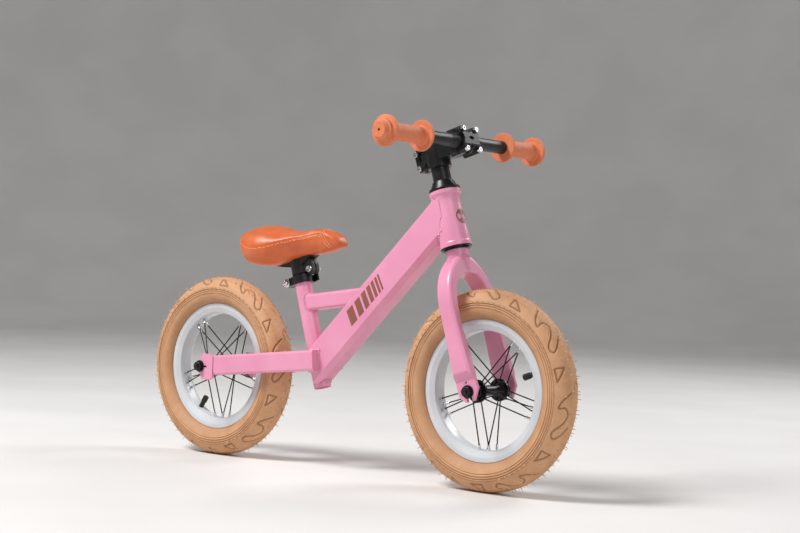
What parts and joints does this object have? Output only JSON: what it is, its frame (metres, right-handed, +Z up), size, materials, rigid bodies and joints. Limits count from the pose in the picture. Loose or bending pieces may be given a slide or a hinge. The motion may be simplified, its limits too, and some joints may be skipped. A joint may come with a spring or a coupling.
{
  "type": "balance bike",
  "caption": "Child's balance bike: low step-through aluminium frame, wishbone fork, spoked wheels with fat tan tyres, flat handlebar with flanged grips, quick-release saddle.",
  "frame": {"origin": "on the ground midway between the two axles, in the middle plane", "axes": "+X forward, +Y to the rider's left, +Z up"},
  "size_m": [0.871, 0.41, 0.5544],
  "materials": {
    "pink_paint": "satin",
    "black_metal": "satin",
    "bar_black": "satin",
    "hub_black": "gloss",
    "spoke_black": "satin",
    "plated_steel": "polished",
    "bearing_steel": "polished",
    "raw_aluminium": "satin",
    "rim_paint": "satin",
    "tan_tyre": "matte",
    "black_rubber": "matte",
    "black_plastic": "satin",
    "orange_rubber": "matte",
    "orange_leather": "satin"
  },
  "bodies": {
    "frame": {"head_tube": "pink_paint", "main_tube": "pink_paint", "seat_tube": "pink_paint", "cross_tube": "pink_paint", "chainstay_right": "pink_paint", "chainstay_left": "pink_paint", "dropout_right": "pink_paint", "dropout_left": "pink_paint", "headset_upper_cup": "black_metal", "headset_lower_cup": "black_metal", "headset_upper_bearing": "bearing_steel", "headset_lower_bearing": "bearing_steel", "seat_collar": "black_metal", "collar_skewer": "plated_steel", "collar_nut": "plated_steel", "rear_axle": "black_metal", "rear_cones": "black_metal", "rear_axle_nuts": "black_metal"},
    "lever": {"collar_lever": "black_metal"},
    "seat": {"seat_post": "black_metal", "saddle_base": "black_plastic", "saddle_pad": "orange_leather", "saddle_clamp_bolt": "plated_steel", "saddle_clamp_nut": "plated_steel"},
    "steering": {"steerer_tube": "black_metal", "fork_crown": "pink_paint", "fork_leg_left": "pink_paint", "fork_leg_right": "pink_paint", "crown_race": "black_metal", "compression_ring": "raw_aluminium", "headset_cover": "black_metal", "stem_body": "black_metal", "stem_faceplate": "black_metal", "faceplate_bolts": "plated_steel", "stem_pinch_bolts": "plated_steel", "stem_top_cap": "black_metal", "top_cap_bolt": "plated_steel", "star_nut": "bearing_steel", "handlebar": "bar_black", "grip_left": "orange_rubber", "grip_right": "orange_rubber", "front_axle": "black_metal", "front_cones": "black_metal", "front_axle_nuts": "black_metal"},
    "front_wheel": {"front_hub": "hub_black", "front_hub_balls": "bearing_steel", "front_spokes": "spoke_black", "front_nipples": "plated_steel", "front_rim": "rim_paint", "front_tyre": "tan_tyre", "front_inner_tube": "black_rubber", "front_valve_cap": "black_plastic"},
    "rear_wheel": {"rear_hub": "hub_black", "rear_hub_balls": "bearing_steel", "rear_spokes": "spoke_black", "rear_nipples": "plated_steel", "rear_rim": "rim_paint", "rear_tyre": "tan_tyre", "rear_inner_tube": "black_rubber", "rear_valve_cap": "black_plastic"}
  },
  "joints": [
    {"name": "steering_turn", "type": "hinge", "parent": "frame", "child": "steering", "pos_m": [0.2123, 0, 0.3676], "axis": [-0.2924, 0, 0.9563], "continuous": true},
    {"name": "front_wheel_spin", "type": "hinge", "parent": "steering", "child": "front_wheel", "pos_m": [0.2825, 0, 0.153], "axis": [0, 1, 0], "continuous": true},
    {"name": "rear_wheel_spin", "type": "hinge", "parent": "frame", "child": "rear_wheel", "pos_m": [-0.2825, 0, 0.153], "axis": [0, 1, 0], "continuous": true},
    {"name": "seat_height", "type": "slide", "parent": "frame", "child": "seat", "axis": [-0.2924, 0, 0.9563], "range_m": [0, 0.05]},
    {"name": "lever_swing", "type": "hinge", "parent": "frame", "child": "lever", "pos_m": [-0.12635, 0.0134, 0.30074], "axis": [-0.2924, 0, 0.9563], "range_deg": [0, 130]}
  ]
}
